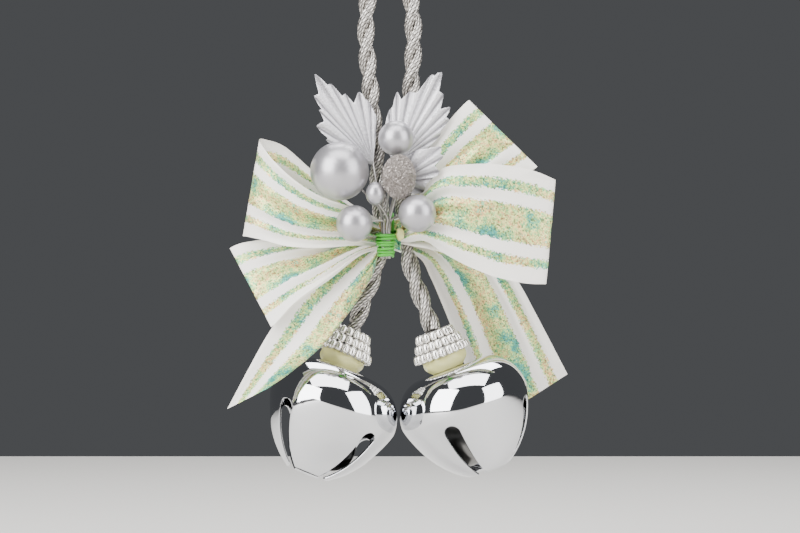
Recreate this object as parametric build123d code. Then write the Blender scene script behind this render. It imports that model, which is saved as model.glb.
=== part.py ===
from build123d import *
import os
from math import cos, pi, radians, sin, tan

# Hanging Christmas ornament: two petal jingle bells on one twisted silver cord, tied at the
# middle with an organza ribbon bow and a pick of pearl berries and leaves.
# Millimetres. The origin is where the cord's top loop rests on its hook. +Z is up, +X is to
# the right as seen from the front, and the front faces -Y.

# ---- driving dimensions -------------------------------------------------------------------
cord_r = 3.1            # two 3.1 mm plies twisted together
joint_gap = 0.45        # free space round the ball-shaped cord ends
ribbon_t = 0.5          # organza ribbon, drawn thicker than the real weave
tail_fold_t = 0.9       # the left tail is folded lengthwise, so it is two layers thick
wire_r = 0.5            # green florist's wire
stem_r = 0.4            # wire stems of the pick

bell_r = 24.5           # at the widest, just under the shoulder
bell_t = 0.7            # stamped sheet
crown_h = 15.3          # from the widest height up to the flat crown
crown_flat_r = 12.0
petal_h = 25.5          # from the widest height down to the petals' ends
petal_mid = (19.9, -12.8)
hole_r = 8.2            # opening between the petals' ends
slot_w = 7.0            # slot width where its taper meets the largest radius
slot_top = -6.4         # centre of the slot's rounded top end
slot_apex = -6.0        # the slot's taper runs out here, past the bell's axis
slot_end_r = 3.1
ball_r = 8.8            # loose ball, larger than the end hole
ball_drop = 13.2        # ball centre below the shell's centre

bead_r = 1.25
bead_h = 3.3
bead_rows = [("top", 6.35, 15), ("middle", 7.8, 19), ("bottom", 9.4, 22)]
glue_h = 5.2            # cap rim to bell crown
glue_r = 6.0            # where the glue meets the crown
cap_h = bead_h * len(bead_rows)

# ---- places -------------------------------------------------------------------------------
tie_z = -95.0           # the cord's two ends hinge here, behind the bow
left_tie = (-3.0, 0, tie_z)
right_tie = (5.0, 0, tie_z)
stem_centre = (-1.5, -13.9)
stem_ring_r = 1.4
stem_fan_r = 2.7        # where the stems turn out of the bundle

loop_route = [
    (-3.0, 0, tie_z + cord_r + joint_gap), (-4.2, 0, -78), (-5.6, 0, -60), (-7.4, 0, -41),
    (-9.3, 0, -22), (-7.6, 0, -4), (-3.2, 0, 3.1), (3.4, 0, 3.1), (7.4, 0, -5),
    (9.0, 0, -23), (7.9, 0, -41), (6.0, 0, -60), (4.8, 0, -78),
    (5.0, 0, tie_z + cord_r + joint_gap),
]
left_drop_route = [left_tie, (-4.4, 0.4, -107.5), (-9.4, 1.3, -120.1), (-13.7, 2.0, -131.8)]
right_drop_route = [right_tie, (7.0, 0, -107.4), (11.5, 0, -120.0), (15.8, 0, -131.9)]

# Each bell hangs from the end of its cord: how far its axis leans outward, how far its open
# end leans to the front, how far it sits off the cap's axis, and where its slots are.
bells = {
    "left": {"hinge": left_drop_route[-1], "lean": 22.5, "nod": 8.0, "shift": 4.2, "slots": 45.0},
    "right": {"hinge": right_drop_route[-1], "lean": -21.0, "nod": 0.0, "shift": 0.8, "slots": 70.6},
}

# The ribbon: stations along each strip, as its upper and its lower edge point.
bow_loops = {
    "bow_loop_upper_left": [
        ((-4.05, -9.0, -91.5), (-4.05, -9.0, -101.0)),
        ((-12.0, -13.5, -87.3), (-13.0, -13.0, -100.5)),
        ((-23.7, -17.5, -83.5), (-24.0, -16.5, -101.3)),
        ((-33.5, -18.5, -77.6), (-36.0, -17.5, -101.0)),
        ((-41.5, -17.0, -70.4), (-46.0, -16.0, -98.6)),
        ((-46.0, -14.0, -64.8), (-51.5, -13.5, -97.4)),
        ((-47.6, -10.5, -62.0), (-53.6, -10.5, -97.0)),
        ((-45.5, -6.5, -61.8), (-51.5, -7.5, -96.2)),
        ((-38.5, -3.0, -64.3), (-44.0, -4.0, -94.5)),
        ((-28.5, -2.5, -73.0), (-31.0, -3.2, -94.0)),
        ((-16.0, -4.6, -84.0), (-16.0, -4.4, -95.0)),
        ((-4.05, -5.4, -91.5), (-4.05, -5.4, -99.0)),
    ],
    "bow_loop_lower_left": [
        ((-4.05, -7.8, -93.0), (-4.05, -7.8, -102.0)),
        ((-14.0, -8.6, -96.0), (-12.0, -10.5, -104.8)),
        ((-28.0, -9.0, -97.4), (-24.0, -16.0, -113.8)),
        ((-42.0, -9.5, -98.2), (-34.0, -21.5, -121.2)),
        ((-53.5, -10.0, -99.6), (-40.5, -24.5, -128.0)),
        ((-58.4, -9.0, -101.6), (-42.7, -24.4, -130.0)),
        ((-53.5, -7.5, -100.2), (-40.0, -22.4, -127.6)),
        ((-42.0, -5.8, -98.8), (-33.0, -19.0, -120.5)),
        ((-28.0, -5.2, -98.2), (-23.0, -13.5, -113.0)),
        ((-14.0, -6.0, -97.4), (-11.5, -8.6, -104.3)),
        ((-4.05, -6.6, -93.0), (-4.05, -6.6, -102.0)),
    ],
    "bow_loop_right": [
        ((4.05, -9.0, -91.0), (4.05, -9.0, -100.0)),
        ((10.5, -13.0, -81.5), (11.5, -13.0, -99.0)),
        ((18.3, -17.0, -73.0), (18.8, -16.5, -103.2)),
        ((29.0, -19.0, -71.2), (28.0, -18.0, -108.0)),
        ((40.2, -18.5, -71.4), (38.0, -17.5, -111.9)),
        ((51.0, -16.0, -73.2), (48.5, -15.5, -114.2)),
        ((58.6, -13.5, -76.0), (55.5, -13.5, -114.6)),
        ((60.2, -11.5, -77.0), (56.8, -11.5, -114.4)),
        ((57.0, -10.3, -77.0), (54.0, -10.3, -113.8)),
        ((47.0, -9.8, -75.6), (44.0, -9.8, -111.5)),
        ((34.0, -9.2, -77.0), (32.0, -9.2, -107.5)),
        ((18.0, -8.5, -83.0), (17.0, -8.5, -102.5)),
        ((4.05, -7.8, -91.0), (4.05, -7.8, -100.0)),
    ],
    "bow_loop_upper_right": [
        ((4.05, -6.6, -90.6), (4.05, -6.6, -98.5)),
        ((8.5, -6.6, -80.0), (16.5, -6.8, -92.5)),
        ((13.5, -6.4, -66.5), (31.0, -6.4, -84.5)),
        ((20.0, -6.2, -56.8), (43.0, -6.2, -77.8)),
        ((26.5, -5.6, -49.4), (51.5, -5.6, -73.2)),
        ((29.0, -3.8, -47.2), (54.0, -3.8, -71.6)),
        ((26.5, -1.8, -49.6), (51.5, -1.8, -73.4)),
        ((20.5, -0.8, -56.6), (43.0, -0.8, -77.6)),
        ((14.5, -1.6, -67.0), (31.0, -1.6, -84.5)),
        ((9.5, -4.4, -80.5), (17.0, -3.8, -92.5)),
        ((4.05, -5.4, -90.6), (4.05, -5.4, -98.5)),
    ],
}
ribbon_tails = {
    "ribbon_tail_left": [
        ((-4.05, -4.4, -97.5), (-4.05, -4.4, -103.2)),
        ((-13.0, -5.4, -102.0), (-5.5, -5.8, -109.6)),
        ((-24.5, -8.5, -108.8), (-10.5, -8.8, -118.6)),
        ((-34.5, -14.0, -118.4), (-16.8, -14.0, -127.4)),
        ((-43.2, -20.6, -131.4), (-24.2, -20.0, -136.4)),
        ((-50.2, -26.0, -144.0), (-35.0, -25.6, -145.6)),
        ((-58.2, -28.4, -159.2), (-43.6, -28.4, -151.8)),
    ],
    "ribbon_tail_right": [
        ((2.5, 4.7, -92.5), (-2.5, 4.7, -101.0)),
        ((16.0, 6.4, -94.0), (6.0, 6.4, -103.0)),
        ((30.0, 8.5, -99.0), (11.6, 8.8, -106.0)),
        ((41.0, 11.0, -106.0), (14.8, 12.0, -112.0)),
        ((47.8, 14.5, -114.2), (18.6, 16.5, -120.5)),
        ((54.0, 19.5, -125.0), (24.0, 22.0, -134.0)),
        ((60.5, 24.5, -137.0), (29.8, 27.0, -151.0)),
        ((66.8, 28.5, -148.8), (35.0, 30.5, -169.5)),
    ],
}

# The pick: centre and radii of each berry, and the height where its stem turns downwards.
berries = {
    "large_berry": {"centre": (-18.2, -18.5, -73.7), "r": 10.6, "turn_z": -87.0},
    "top_berry": {"centre": (2.2, -15.2, -61.7), "r": 6.4, "turn_z": -86.0},
    "lower_left_berry": {"centre": (-12.8, -21.2, -92.7), "r": 6.6, "turn_z": -91.6},
    "lower_right_berry": {"centre": (9.9, -21.0, -89.0), "r": 6.8, "turn_z": -90.6},
}
small_berries = {
    "berry_bud": {"centre": (-5.3, -20.6, -81.9), "r": 3.45, "half_h": 4.2, "turn_z": -90.2},
    "glitter_berry": {"centre": (3.3, -20.6, -75.9), "r": 6.0, "half_h": 8.1, "turn_z": -88.6},
}

# Leaf outlines in the X-Z plane, with the depth at the base and at the tip.
leaves = {
    "leaf_left": {
        "outline": [
            (-6.6, -71.2), (-21.2, -63.5), (-23.4, -61.3), (-26.3, -57.3), (-25.2, -53.0),
            (-26.3, -49.6), (-27.4, -45.0), (-26.6, -38.7), (-21.5, -42.0), (-17.2, -44.9),
            (-13.6, -46.9), (-10.2, -44.6), (-7.3, -48.9), (-5.1, -52.6), (-5.4, -62.0),
        ],
        "base": (-6.2, -4.9, -70.0), "tip": (-26.6, -9.5, -38.7), "turn_z": -84.0,
    },
    "leaf_right": {
        "outline": [
            (1.8, -71.2), (-1.6, -63.0), (-2.0, -55.8), (0.2, -50.6), (2.4, -45.2),
            (5.6, -45.6), (11.5, -42.2), (17.5, -36.5), (19.0, -42.0), (19.4, -48.6),
            (21.9, -51.1), (21.0, -55.4), (18.6, -59.5), (15.3, -63.9), (8.0, -68.6),
        ],
        "base": (1.8, -7.4, -70.4), "tip": (17.5, -9.6, -36.5), "turn_z": -84.0,
    },
    "leaf_side": {
        "outline": [
            (1.8, -78.5), (5.0, -70.5), (11.0, -65.6), (17.7, -65.2), (19.3, -67.9),
            (17.2, -71.4), (17.6, -75.2), (15.0, -76.5), (13.1, -79.8), (9.3, -82.0),
        ],
        "base": (3.2, -12.2, -77.2), "tip": (18.6, -21.5, -66.4), "turn_z": -86.0,
    },
}
# The stems in the order in which they stand round the wrapped bundle.
stem_order = ["lower_right_berry", "leaf_side", "top_berry", "leaf_right", "leaf_left",
              "large_berry", "lower_left_berry", "berry_bud", "glitter_berry"]
leaf_t = 0.6


# ---- shapes -------------------------------------------------------------------------------
def bend_radii(points):
    """Arc at each inner point: 0.45 of its shorter run over the tangent of half the turn."""
    radii = []
    for a, b, c in zip(points, points[1:], points[2:]):
        run_in, run_out = Vector(*b) - Vector(*a), Vector(*c) - Vector(*b)
        half_turn = radians(run_in.get_angle(run_out)) / 2
        radii.append(0.45 * min(run_in.length, run_out.length) / tan(half_turn))
    return radii


def tube(points, radius):
    radii = bend_radii(points)
    path = FilletPolyline(*points, radius=radii)
    section = Plane(origin=path @ 0, z_dir=path % 0) * Circle(radius)
    return sweep(section, path=path), path, radii


def cord(name, points, round_ends):
    body, path, radii = tube(points, cord_r)
    print(name, "length", round(path.length, 1), "radii", [round(r, 1) for r in radii],
          "volume ratio", round(body.volume / (pi * cord_r**2 * path.length), 4))
    if round_ends:
        body += Pos(*points[0]) * Sphere(cord_r) + Pos(*points[-1]) * Sphere(cord_r)
    return body


def solid_of_triangles(corner_rings):
    """Closed solid through rings of four corners, its sides split into flat triangles."""
    triangles = []
    for near, far in zip(corner_rings, corner_rings[1:]):
        for k in range(4):
            a, b, c, d = near[k], near[(k + 1) % 4], far[(k + 1) % 4], far[k]
            # The two wide sides are split along the same diagonal, so they never cross.
            triangles += [(a, b, d), (b, c, d)] if k == 3 else [(a, b, c), (a, c, d)]
    for ring in (corner_rings[0], corner_rings[-1]):
        triangles += [(ring[0], ring[1], ring[2]), (ring[0], ring[2], ring[3])]
    faces = [Face(Wire.make_polygon(corners, close=True)) for corners in triangles]
    return Solid(Shell(faces))


def strip(stations, thickness, square_ends):
    """Ribbon through its stations, each a thin rectangle across the ribbon."""
    mids = [(Vector(*up) + Vector(*low)) / 2 for up, low in stations]
    last = len(stations) - 1
    rings = []
    for i, (up, low) in enumerate(stations):
        along = mids[min(i + 1, last)] - mids[max(i - 1, 0)]
        if square_ends and i in (0, last):
            along = Vector(along.X, 0, 0)
        normal = along.cross(Vector(*up) - Vector(*low)).normalized() * (thickness / 2)
        rings.append([Vector(*up) + normal, Vector(*up) - normal,
                      Vector(*low) - normal, Vector(*low) + normal])
    return solid_of_triangles(rings)


def cap_place(side):
    """Frame at the cap's top centre, +Z along the bell's axis from its open end to its crown."""
    bell = bells[side]
    lean, nod = radians(bell["lean"]), radians(bell["nod"])
    axis = (sin(lean) * cos(nod), sin(nod), cos(lean) * cos(nod))
    return Plane(origin=bell["hinge"], x_dir=(cos(lean), 0, -sin(lean)), z_dir=axis)


def bell_place(side):
    down = cap_h + glue_h + crown_h
    return cap_place(side) * Pos(bells[side]["shift"], 0, -down)


def bead_row(side, row):
    """Oval beads standing side by side in a ring round the cap's core."""
    _, ring_r, count = bead_rows[row]
    half = bead_h / 2 - 0.05
    outline = Line((0, -half), (bead_r * 0.55, -half))
    outline += ThreePointArc((bead_r * 0.55, -half), (bead_r, 0), (bead_r * 0.55, half))
    outline += Polyline((bead_r * 0.55, half), (0, half), (0, -half))
    bead = revolve(Plane.XZ * make_face(outline), Axis.Z)
    depth = -bead_h * (row + 0.5)
    places = [Rot(0, 0, 360 * k / count) * Pos(ring_r, 0, depth) for k in range(count)]
    return Compound(children=[cap_place(side) * place * bead for place in places])


def cap_core(side):
    """Stepped plug that the bead rows are wound on, with a round socket for the cord's end."""
    core = Part()
    for row, (_, ring_r, _) in enumerate(bead_rows):
        step = Cylinder(ring_r - bead_r - 0.05, bead_h, align=(Align.CENTER, Align.CENTER, Align.MAX))
        core += Pos(0, 0, -bead_h * row) * step
    return cap_place(side) * (core - Sphere(cord_r + joint_gap))


def crown_staple(side):
    """Wire loop standing on the crown."""
    leg = 1.6
    loop = Rot(90, 0, 0) * Torus(1.8, 0.6)
    loop = Pos(0, 0, leg) * (loop & Pos(0, 0, 5) * Box(10, 10, 10))
    for x in (-1.8, 1.8):
        loop += Pos(x, 0, 0) * Cylinder(0.6, leg, align=(Align.CENTER, Align.CENTER, Align.MIN))
    return bell_place(side) * Pos(0, 0, crown_h) * loop


def cap_glue(side):
    top_r = bead_rows[-1][1] - bead_r - 0.05
    shape = Cone(glue_r, top_r, glue_h, align=(Align.CENTER, Align.CENTER, Align.MAX))
    return cap_place(side) * Pos(0, 0, -cap_h) * shape - crown_staple(side)


def bell_profile(inset):
    """Half outline from the crown's centre to the petals' ends, moved in by the inset."""
    top = (crown_flat_r, crown_h - inset)
    shoulder = EllipticalCenterArc((crown_flat_r, 0), bell_r - crown_flat_r - inset,
                                   crown_h - inset, start_angle=0, arc_size=90)
    mid = (petal_mid[0] - 0.9 * inset, petal_mid[1] + 0.45 * inset)
    end = (4.0, -petal_h - 1.2 + inset)
    petals = ThreePointArc((bell_r - inset, 0), mid, end)
    closing = Polyline(end, (0, end[1]), (0, crown_h - inset), top)
    return revolve(Plane.XZ * make_face(shoulder + petals + closing), Axis.Z)


def bell_shell(side):
    """Stamped shell: flat crown, round shoulder and four petals that close towards the hole."""
    shell = bell_profile(0) - bell_profile(bell_t) - Pos(0, 0, -petal_h) * Cylinder(hole_r, 20)
    taper = make_face(Polyline((slot_apex, 0), (bell_r + 3, -slot_w / 2), (bell_r + 3, slot_w / 2),
                               (slot_apex, 0)))
    slot = extrude(Pos(0, 0, slot_top) * taper, amount=-(petal_h + 5))
    top_end = Pos(bell_r - 4, 0, slot_top) * Rot(0, 90, 0) * Cylinder(slot_end_r, 14)
    for k in range(4):
        shell -= Rot(0, 0, bells[side]["slots"] + 90 * k) * (slot + top_end)
    return bell_place(side) * shell


def jingle_ball(side):
    centre = (bell_place(side) * Vertex(0, 0, 0)).center()
    return Pos(centre.X, centre.Y, centre.Z - ball_drop) * Sphere(ball_r)


def stem(name, start, turn_z):
    """Wire stem from inside its berry or leaf to its place in the wrapped bundle."""
    angle = radians(360 / len(stem_order) * stem_order.index(name))
    x, y = stem_centre
    fan = (x + stem_fan_r * cos(angle), y + stem_fan_r * sin(angle), turn_z)
    top = (x + stem_ring_r * cos(angle), y + stem_ring_r * sin(angle), -94.6)
    return tube([start, fan, top, (top[0], top[1], -105.4)], stem_r)[0]


def oval(radius, half_h):
    """Solid of revolution about Z with a bulging side and small flats at its ends."""
    flat = 0.3 * radius
    side = [(flat, -half_h), (0.84 * radius, -0.6 * half_h), (radius, 0),
            (0.84 * radius, 0.6 * half_h), (flat, half_h)]
    outline = Spline(*side) + Polyline(side[-1], (0, half_h), (0, -half_h), side[0])
    return revolve(Plane.XZ * make_face(outline), Axis.Z)


def leaf_blade(leaf):
    """Flat blade that leans forwards evenly from its base to its tip."""
    (x0, y0, z0), (x1, y1, z1) = leaf["base"], leaf["tip"]
    length = ((x1 - x0)**2 + (z1 - z0)**2) ** 0.5
    along = ((x1 - x0) / length, (z1 - z0) / length)
    points = []
    for x, z in leaf["outline"]:
        reach = (x - x0) * along[0] + (z - z0) * along[1]
        points.append((x, y0 + (y1 - y0) * reach / length, z))
    return extrude(make_face(Polyline(*points, close=True)), amount=leaf_t / 2, both=True)


# ---- parts --------------------------------------------------------------------------------
parts = {
    "hanging_loop_cord": cord("hanging_loop_cord", loop_route, round_ends=False),
    "left_drop_cord": cord("left_drop_cord", left_drop_route, round_ends=True),
    "right_drop_cord": cord("right_drop_cord", right_drop_route, round_ends=True),
}
for node, stations in bow_loops.items():
    parts[node] = strip(stations, ribbon_t, square_ends=True)
parts["ribbon_tail_left"] = strip(ribbon_tails["ribbon_tail_left"], tail_fold_t, square_ends=True)
parts["ribbon_tail_right"] = strip(ribbon_tails["ribbon_tail_right"], ribbon_t, square_ends=False)
parts["bow_gather"] = Pos(0, -6.6, -96.6) * fillet(Box(8, 6, 13.2).edges().filter_by(Axis.X), 2.0)

binding = [(1, -10.4, -104.4), (1, 6.7, -104.4), (1, 6.7, -89.0), (1, -10.4, -89.0)]
binding_path = FilletPolyline(*binding, radius=3.0, close=True)
binding_start = Plane(origin=binding_path @ 0, z_dir=binding_path % 0)
parts["bow_binding_wire"] = sweep(binding_start * Circle(wire_r), path=binding_path)
wraps = [Pos(*stem_centre, -96.2 - 2.0 * k) * Torus(3.3 - 0.2 * k, wire_r) for k in range(5)]
parts["pick_wire_wrap"] = Compound(children=wraps)
parts["glue_patch"] = Pos(3.6, -12.4, -96.6) * oval(1.6, 2.3)

for node, berry in berries.items():
    centre = Vector(*berry["centre"])
    towards = Vector(*stem_centre, berry["turn_z"]) - centre
    start = centre + towards.normalized() * (berry["r"] - 2.0)
    parts[node + "_stem"] = stem(node, (start.X, start.Y, start.Z), berry["turn_z"])
    parts[node] = Pos(*berry["centre"]) * Sphere(berry["r"]) - parts[node + "_stem"]
for node, shape in small_berries.items():
    x, y, z = shape["centre"]
    parts[node + "_stem"] = stem(node, (x, y, z - 0.5 * shape["half_h"]), shape["turn_z"])
    parts[node] = Pos(x, y, z) * oval(shape["r"], shape["half_h"]) - parts[node + "_stem"]
for node, leaf in leaves.items():
    parts[node + "_stem"] = stem(node, leaf["base"], leaf["turn_z"])
    parts[node] = leaf_blade(leaf) - parts[node + "_stem"]

for side in bells:
    for row, (place, _, _) in enumerate(bead_rows):
        parts[f"{side}_bead_row_{place}"] = bead_row(side, row)
    parts[f"{side}_cap_core"] = cap_core(side)
    parts[f"{side}_cap_glue"] = cap_glue(side)
    parts[f"{side}_crown_staple"] = crown_staple(side)
    parts[f"{side}_bell_shell"] = bell_shell(side)
    parts[f"{side}_jingle_ball"] = jingle_ball(side)

os.makedirs("parts", exist_ok=True)
for node, shape in parts.items():
    export_step(shape, f"parts/{node}.step")
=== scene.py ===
import bpy
import numpy as np
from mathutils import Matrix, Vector


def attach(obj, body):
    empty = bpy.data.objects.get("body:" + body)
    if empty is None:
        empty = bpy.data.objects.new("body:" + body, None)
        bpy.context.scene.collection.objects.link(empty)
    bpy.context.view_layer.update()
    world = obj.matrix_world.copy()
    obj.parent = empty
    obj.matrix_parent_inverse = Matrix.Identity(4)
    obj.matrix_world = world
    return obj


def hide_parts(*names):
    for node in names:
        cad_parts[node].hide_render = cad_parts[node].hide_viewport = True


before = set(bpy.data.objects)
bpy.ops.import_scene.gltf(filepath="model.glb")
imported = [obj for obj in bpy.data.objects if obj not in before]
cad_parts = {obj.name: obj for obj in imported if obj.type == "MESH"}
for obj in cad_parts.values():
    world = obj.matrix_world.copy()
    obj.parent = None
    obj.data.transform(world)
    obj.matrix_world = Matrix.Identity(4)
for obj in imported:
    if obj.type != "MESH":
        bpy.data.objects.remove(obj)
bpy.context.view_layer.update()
mm = 0.001
rng = np.random.default_rng(11)
print("frame loaded")


def linearColor(code):  # sRGB hex to linear RGBA
    srgb = np.array([int(code[i:i + 2], 16) for i in (1, 3, 5)]) / 255
    linear = np.where(srgb <= 0.04045, srgb / 12.92, ((srgb + 0.055) / 1.055) ** 2.4)
    return (*linear.tolist(), 1.0)


def addNode(tree, kind, settings=None, inputs=None, **links):  # links: input name = output socket
    node = tree.nodes.new(kind)
    for name, value in (settings or {}).items():
        setattr(node, name, value)
    for key, value in (inputs or {}).items():
        node.inputs[key].default_value = value
    for name, socket in links.items():
        tree.links.new(socket, node.inputs[name.replace("_", " ")])
    return node


def newMaterial(name, code, metallic, roughness, extra=None):  # plain finish, nodes to build on
    material = bpy.data.materials.new(name)
    material.use_nodes = True
    shader = material.node_tree.nodes["Principled BSDF"]
    values = {"Base Color": linearColor(code), "Metallic": metallic, "Roughness": roughness}
    for key, value in (values | (extra or {})).items():
        shader.inputs[key].default_value = value
    return material, material.node_tree, shader


def colorRamp(tree, factor, stops, interpolation="LINEAR"):  # stops: (position, hex)
    ramp = addNode(tree, "ShaderNodeValToRGB", Fac=factor)
    ramp.color_ramp.interpolation = interpolation
    while len(ramp.color_ramp.elements) < len(stops):
        ramp.color_ramp.elements.new(0.5)
    for element, (position, code) in zip(ramp.color_ramp.elements, stops):
        element.position = position
        element.color = linearColor(code)
    return ramp.outputs["Color"]


def unit(v):  # rows scaled to length 1
    return v / np.linalg.norm(v, axis=-1, keepdims=True)


def splinePoints(points, steps):  # Catmull-Rom through rows of points, any trailing shape
    p = np.asarray(points, float)
    p = np.concatenate([2 * p[:1] - p[1:2], p, 2 * p[-1:] - p[-2:-1]])
    t = np.linspace(0, len(points) - 1, steps)
    k = np.minimum(t.astype(int), len(points) - 2)
    f = (t - k).reshape((-1,) + (1,) * (p.ndim - 1))
    a, b, c, d = p[k], p[k + 1], p[k + 2], p[k + 3]
    return 0.5 * (2 * b + (c - a) * f + (2 * a - 5 * b + 4 * c - d) * f**2
                  + (3 * b - a - 3 * c + d) * f**3)


def gridFaces(rows, cols, closed):  # quads over a grid whose columns may close on themselves
    i, j = np.meshgrid(np.arange(rows - 1), np.arange(cols if closed else cols - 1), indexing="ij")
    k = (j + 1) % cols
    return np.stack([i * cols + j, i * cols + k, (i + 1) * cols + k, (i + 1) * cols + j],
                    -1).reshape(-1, 4)


def signedVolume(points, faces):  # six times the volume, negative if faces point in
    a, b, c, d = (points[faces[:, k]] for k in range(4))
    return np.einsum("ij,ij->i", a, np.cross(b, c) + np.cross(c, d)).sum()


def addMesh(name, points, faces, material, body, replaced=(), uv=None, paintedShade=None,
            outward=True):  # points in mm
    points = np.asarray(points, float).reshape(-1, 3)
    if outward and signedVolume(points - points.mean(0), faces) < 0:
        faces = faces[:, ::-1]
    mesh = bpy.data.meshes.new(name)
    mesh.vertices.add(len(points))
    mesh.vertices.foreach_set("co", (points * mm).ravel())
    mesh.loops.add(faces.size)
    mesh.loops.foreach_set("vertex_index", faces.ravel())
    mesh.polygons.add(len(faces))
    mesh.polygons.foreach_set("loop_start", np.arange(0, faces.size, 4))
    mesh.update(calc_edges=True)
    mesh.shade_smooth()
    if uv is not None:
        corners = uv.reshape(-1, 2)[faces.ravel()]
        mesh.uv_layers.new(name="cloth").data.foreach_set("uv", corners.ravel())
    if paintedShade is not None:
        mesh.attributes.new("paintedShade", "FLOAT", "POINT").data.foreach_set("value", np.ravel(paintedShade))
    mesh.validate()
    obj = bpy.data.objects.new(name, mesh)
    bpy.context.scene.collection.objects.link(obj)
    mesh.materials.append(material)
    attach(obj, body)
    if replaced:
        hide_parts(*replaced)
    return obj


def pathFrames(path):  # tangent and two normals along a line that never runs along Y
    tangent = unit(np.gradient(path, axis=0))
    side = unit(np.array([0, 1.0, 0]) - tangent[:, 1:2] * tangent)
    return tangent, side, np.cross(tangent, side)


def tubeGrid(path, radius, around=12):  # round tube with closed ends, radius may vary along it
    tangent, side, up = pathFrames(path)
    turn = np.linspace(0, 2 * np.pi, around, endpoint=False)
    ring = np.cos(turn)[None, :, None] * side[:, None] + np.sin(turn)[None, :, None] * up[:, None]
    grid = path[:, None] + np.broadcast_to(radius, len(path))[:, None, None] * ring
    ends = [np.repeat(path[k][None, None], around, axis=1) for k in (0, -1)]
    return np.concatenate([ends[0], grid, ends[1]])


def latheGrid(outline, around):  # outline rows of (r, z) turned about Z
    outline = np.asarray(outline, float)
    turn = np.linspace(0, 2 * np.pi, around, endpoint=False)
    r, z = outline[:, :1], outline[:, 1:]
    return np.stack([r * np.cos(turn), r * np.sin(turn), np.broadcast_to(z, (len(r), around))], -1)


def joined(grids, closed=True):  # several grids of one size as one set of points and faces
    grids = np.asarray(grids)
    count, rows, cols = grids.shape[:3]
    faces = gridFaces(rows, cols, closed)
    shifts = (np.arange(count) * rows * cols)[:, None, None]
    return grids.reshape(-1, 3), (faces[None] + shifts).reshape(-1, 4)


clothLook = {
    "white": "#fcf8f1", "sheer": 0.88, "clothRough": 0.55, "flakeRough": 0.34, "flakeMetal": 0.3,
    "bands": [(0, "#000000"), (0.13, "#ffffff"), (0.23, "#000000"), (0.35, "#ffffff"),
              (0.67, "#000000"), (0.79, "#ffffff"), (0.87, "#000000")],  # white where glitter lies
    "hues": [(0.36, "#419f98"), (0.42, "#78c78c"), (0.47, "#b4dd8c"), (0.52, "#e4ec96"),
             (0.57, "#f2e29a"), (0.62, "#e9a870"), (0.67, "#93d2a0")],
    "paintedGlints": [(0.0, "#7a7a70"), (0.3, "#dcdcd4"), (0.75, "#ffffff")],
    "patches": 3.6,  # hue patches of about 10 mm, per ribbon width of 38 mm
    "flakes": 76.0,  # flakes of 0.5 mm, coarser than real 0.1 mm glitter so that they show
    "mixed": 0.16, "ragged": 0.03, "flakeBump": 0.00012}


def ribbonMaterial():  # sheer matt organza, with stripes of bright flakes along it
    look = clothLook
    material, tree, shader = newMaterial("white organza ribbon with glitter stripes", look["white"],
                                         0, look["clothRough"], {"Sheen Weight": 0.25})
    place = addNode(tree, "ShaderNodeUVMap", {"uv_map": "cloth"}).outputs["UV"]
    across = addNode(tree, "ShaderNodeSeparateXYZ", Vector=place).outputs["X"]
    patch = addNode(tree, "ShaderNodeTexNoise", inputs={"Scale": look["patches"], "Detail": 3.0},
                    Vector=place)
    flake = addNode(tree, "ShaderNodeTexVoronoi", inputs={"Scale": look["flakes"]}, Vector=place)
    chance = addNode(tree, "ShaderNodeSeparateXYZ", Vector=flake.outputs["Color"])
    ragged = addNode(tree, "ShaderNodeMath", {"operation": "MULTIPLY_ADD"}, inputs={1: look["ragged"]})
    tree.links.new(chance.outputs["Z"], ragged.inputs[0])
    tree.links.new(across, ragged.inputs[2])
    stripe = colorRamp(tree, ragged.outputs[0], look["bands"], "CONSTANT")
    both = addNode(tree, "ShaderNodeMix", inputs={"Factor": look["mixed"]}, A=patch.outputs["Fac"],
                   B=chance.outputs["X"])
    shine = colorRamp(tree, both.outputs["Result"], look["hues"])
    # painted glints: each flake gets a random brightness, grey to white, standing in for flakes that
    # catch the light
    paintedGlint = colorRamp(tree, chance.outputs["Y"], look["paintedGlints"])
    glitter = addNode(tree, "ShaderNodeMix", {"data_type": "RGBA", "blend_type": "MULTIPLY"})
    glitter.inputs["Factor"].default_value = 1.0
    tree.links.new(shine, glitter.inputs[6])
    tree.links.new(paintedGlint, glitter.inputs[7])
    color = addNode(tree, "ShaderNodeMix", {"data_type": "RGBA"}, Factor=stripe)
    color.inputs[6].default_value = linearColor(look["white"])
    tree.links.new(glitter.outputs[2], color.inputs[7])
    tree.links.new(color.outputs[2], shader.inputs["Base Color"])
    metal = addNode(tree, "ShaderNodeMath", {"operation": "MULTIPLY"}, inputs={1: look["flakeMetal"]})
    tree.links.new(stripe, metal.inputs[0])
    tree.links.new(metal.outputs[0], shader.inputs["Metallic"])
    rough = addNode(tree, "ShaderNodeMapRange", Value=stripe,
                    inputs={"To Min": look["clothRough"], "To Max": look["flakeRough"]})
    tree.links.new(rough.outputs[0], shader.inputs["Roughness"])
    sheer = addNode(tree, "ShaderNodeMapRange", inputs={"To Min": look["sheer"], "To Max": 1.0},
                    Value=stripe)
    tree.links.new(sheer.outputs[0], shader.inputs["Alpha"])
    uneven = addNode(tree, "ShaderNodeMath", {"operation": "MULTIPLY"})
    tree.links.new(chance.outputs["Z"], uneven.inputs[0])
    tree.links.new(stripe, uneven.inputs[1])
    bump = addNode(tree, "ShaderNodeBump", inputs={"Strength": 0.5, "Distance": look["flakeBump"]},
                   Height=uneven.outputs[0])
    tree.links.new(bump.outputs["Normal"], shader.inputs["Normal"])
    return material


def addGrain(tree, shader, scale, depth):  # fine raised grain, scale per metre
    where = addNode(tree, "ShaderNodeTexCoord").outputs["Object"]
    grain = addNode(tree, "ShaderNodeTexNoise", inputs={"Scale": scale, "Detail": 3.0}, Vector=where)
    bump = addNode(tree, "ShaderNodeBump", inputs={"Strength": 0.6, "Distance": depth},
                   Height=grain.outputs["Fac"])
    tree.links.new(bump.outputs["Normal"], shader.inputs["Normal"])


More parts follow.
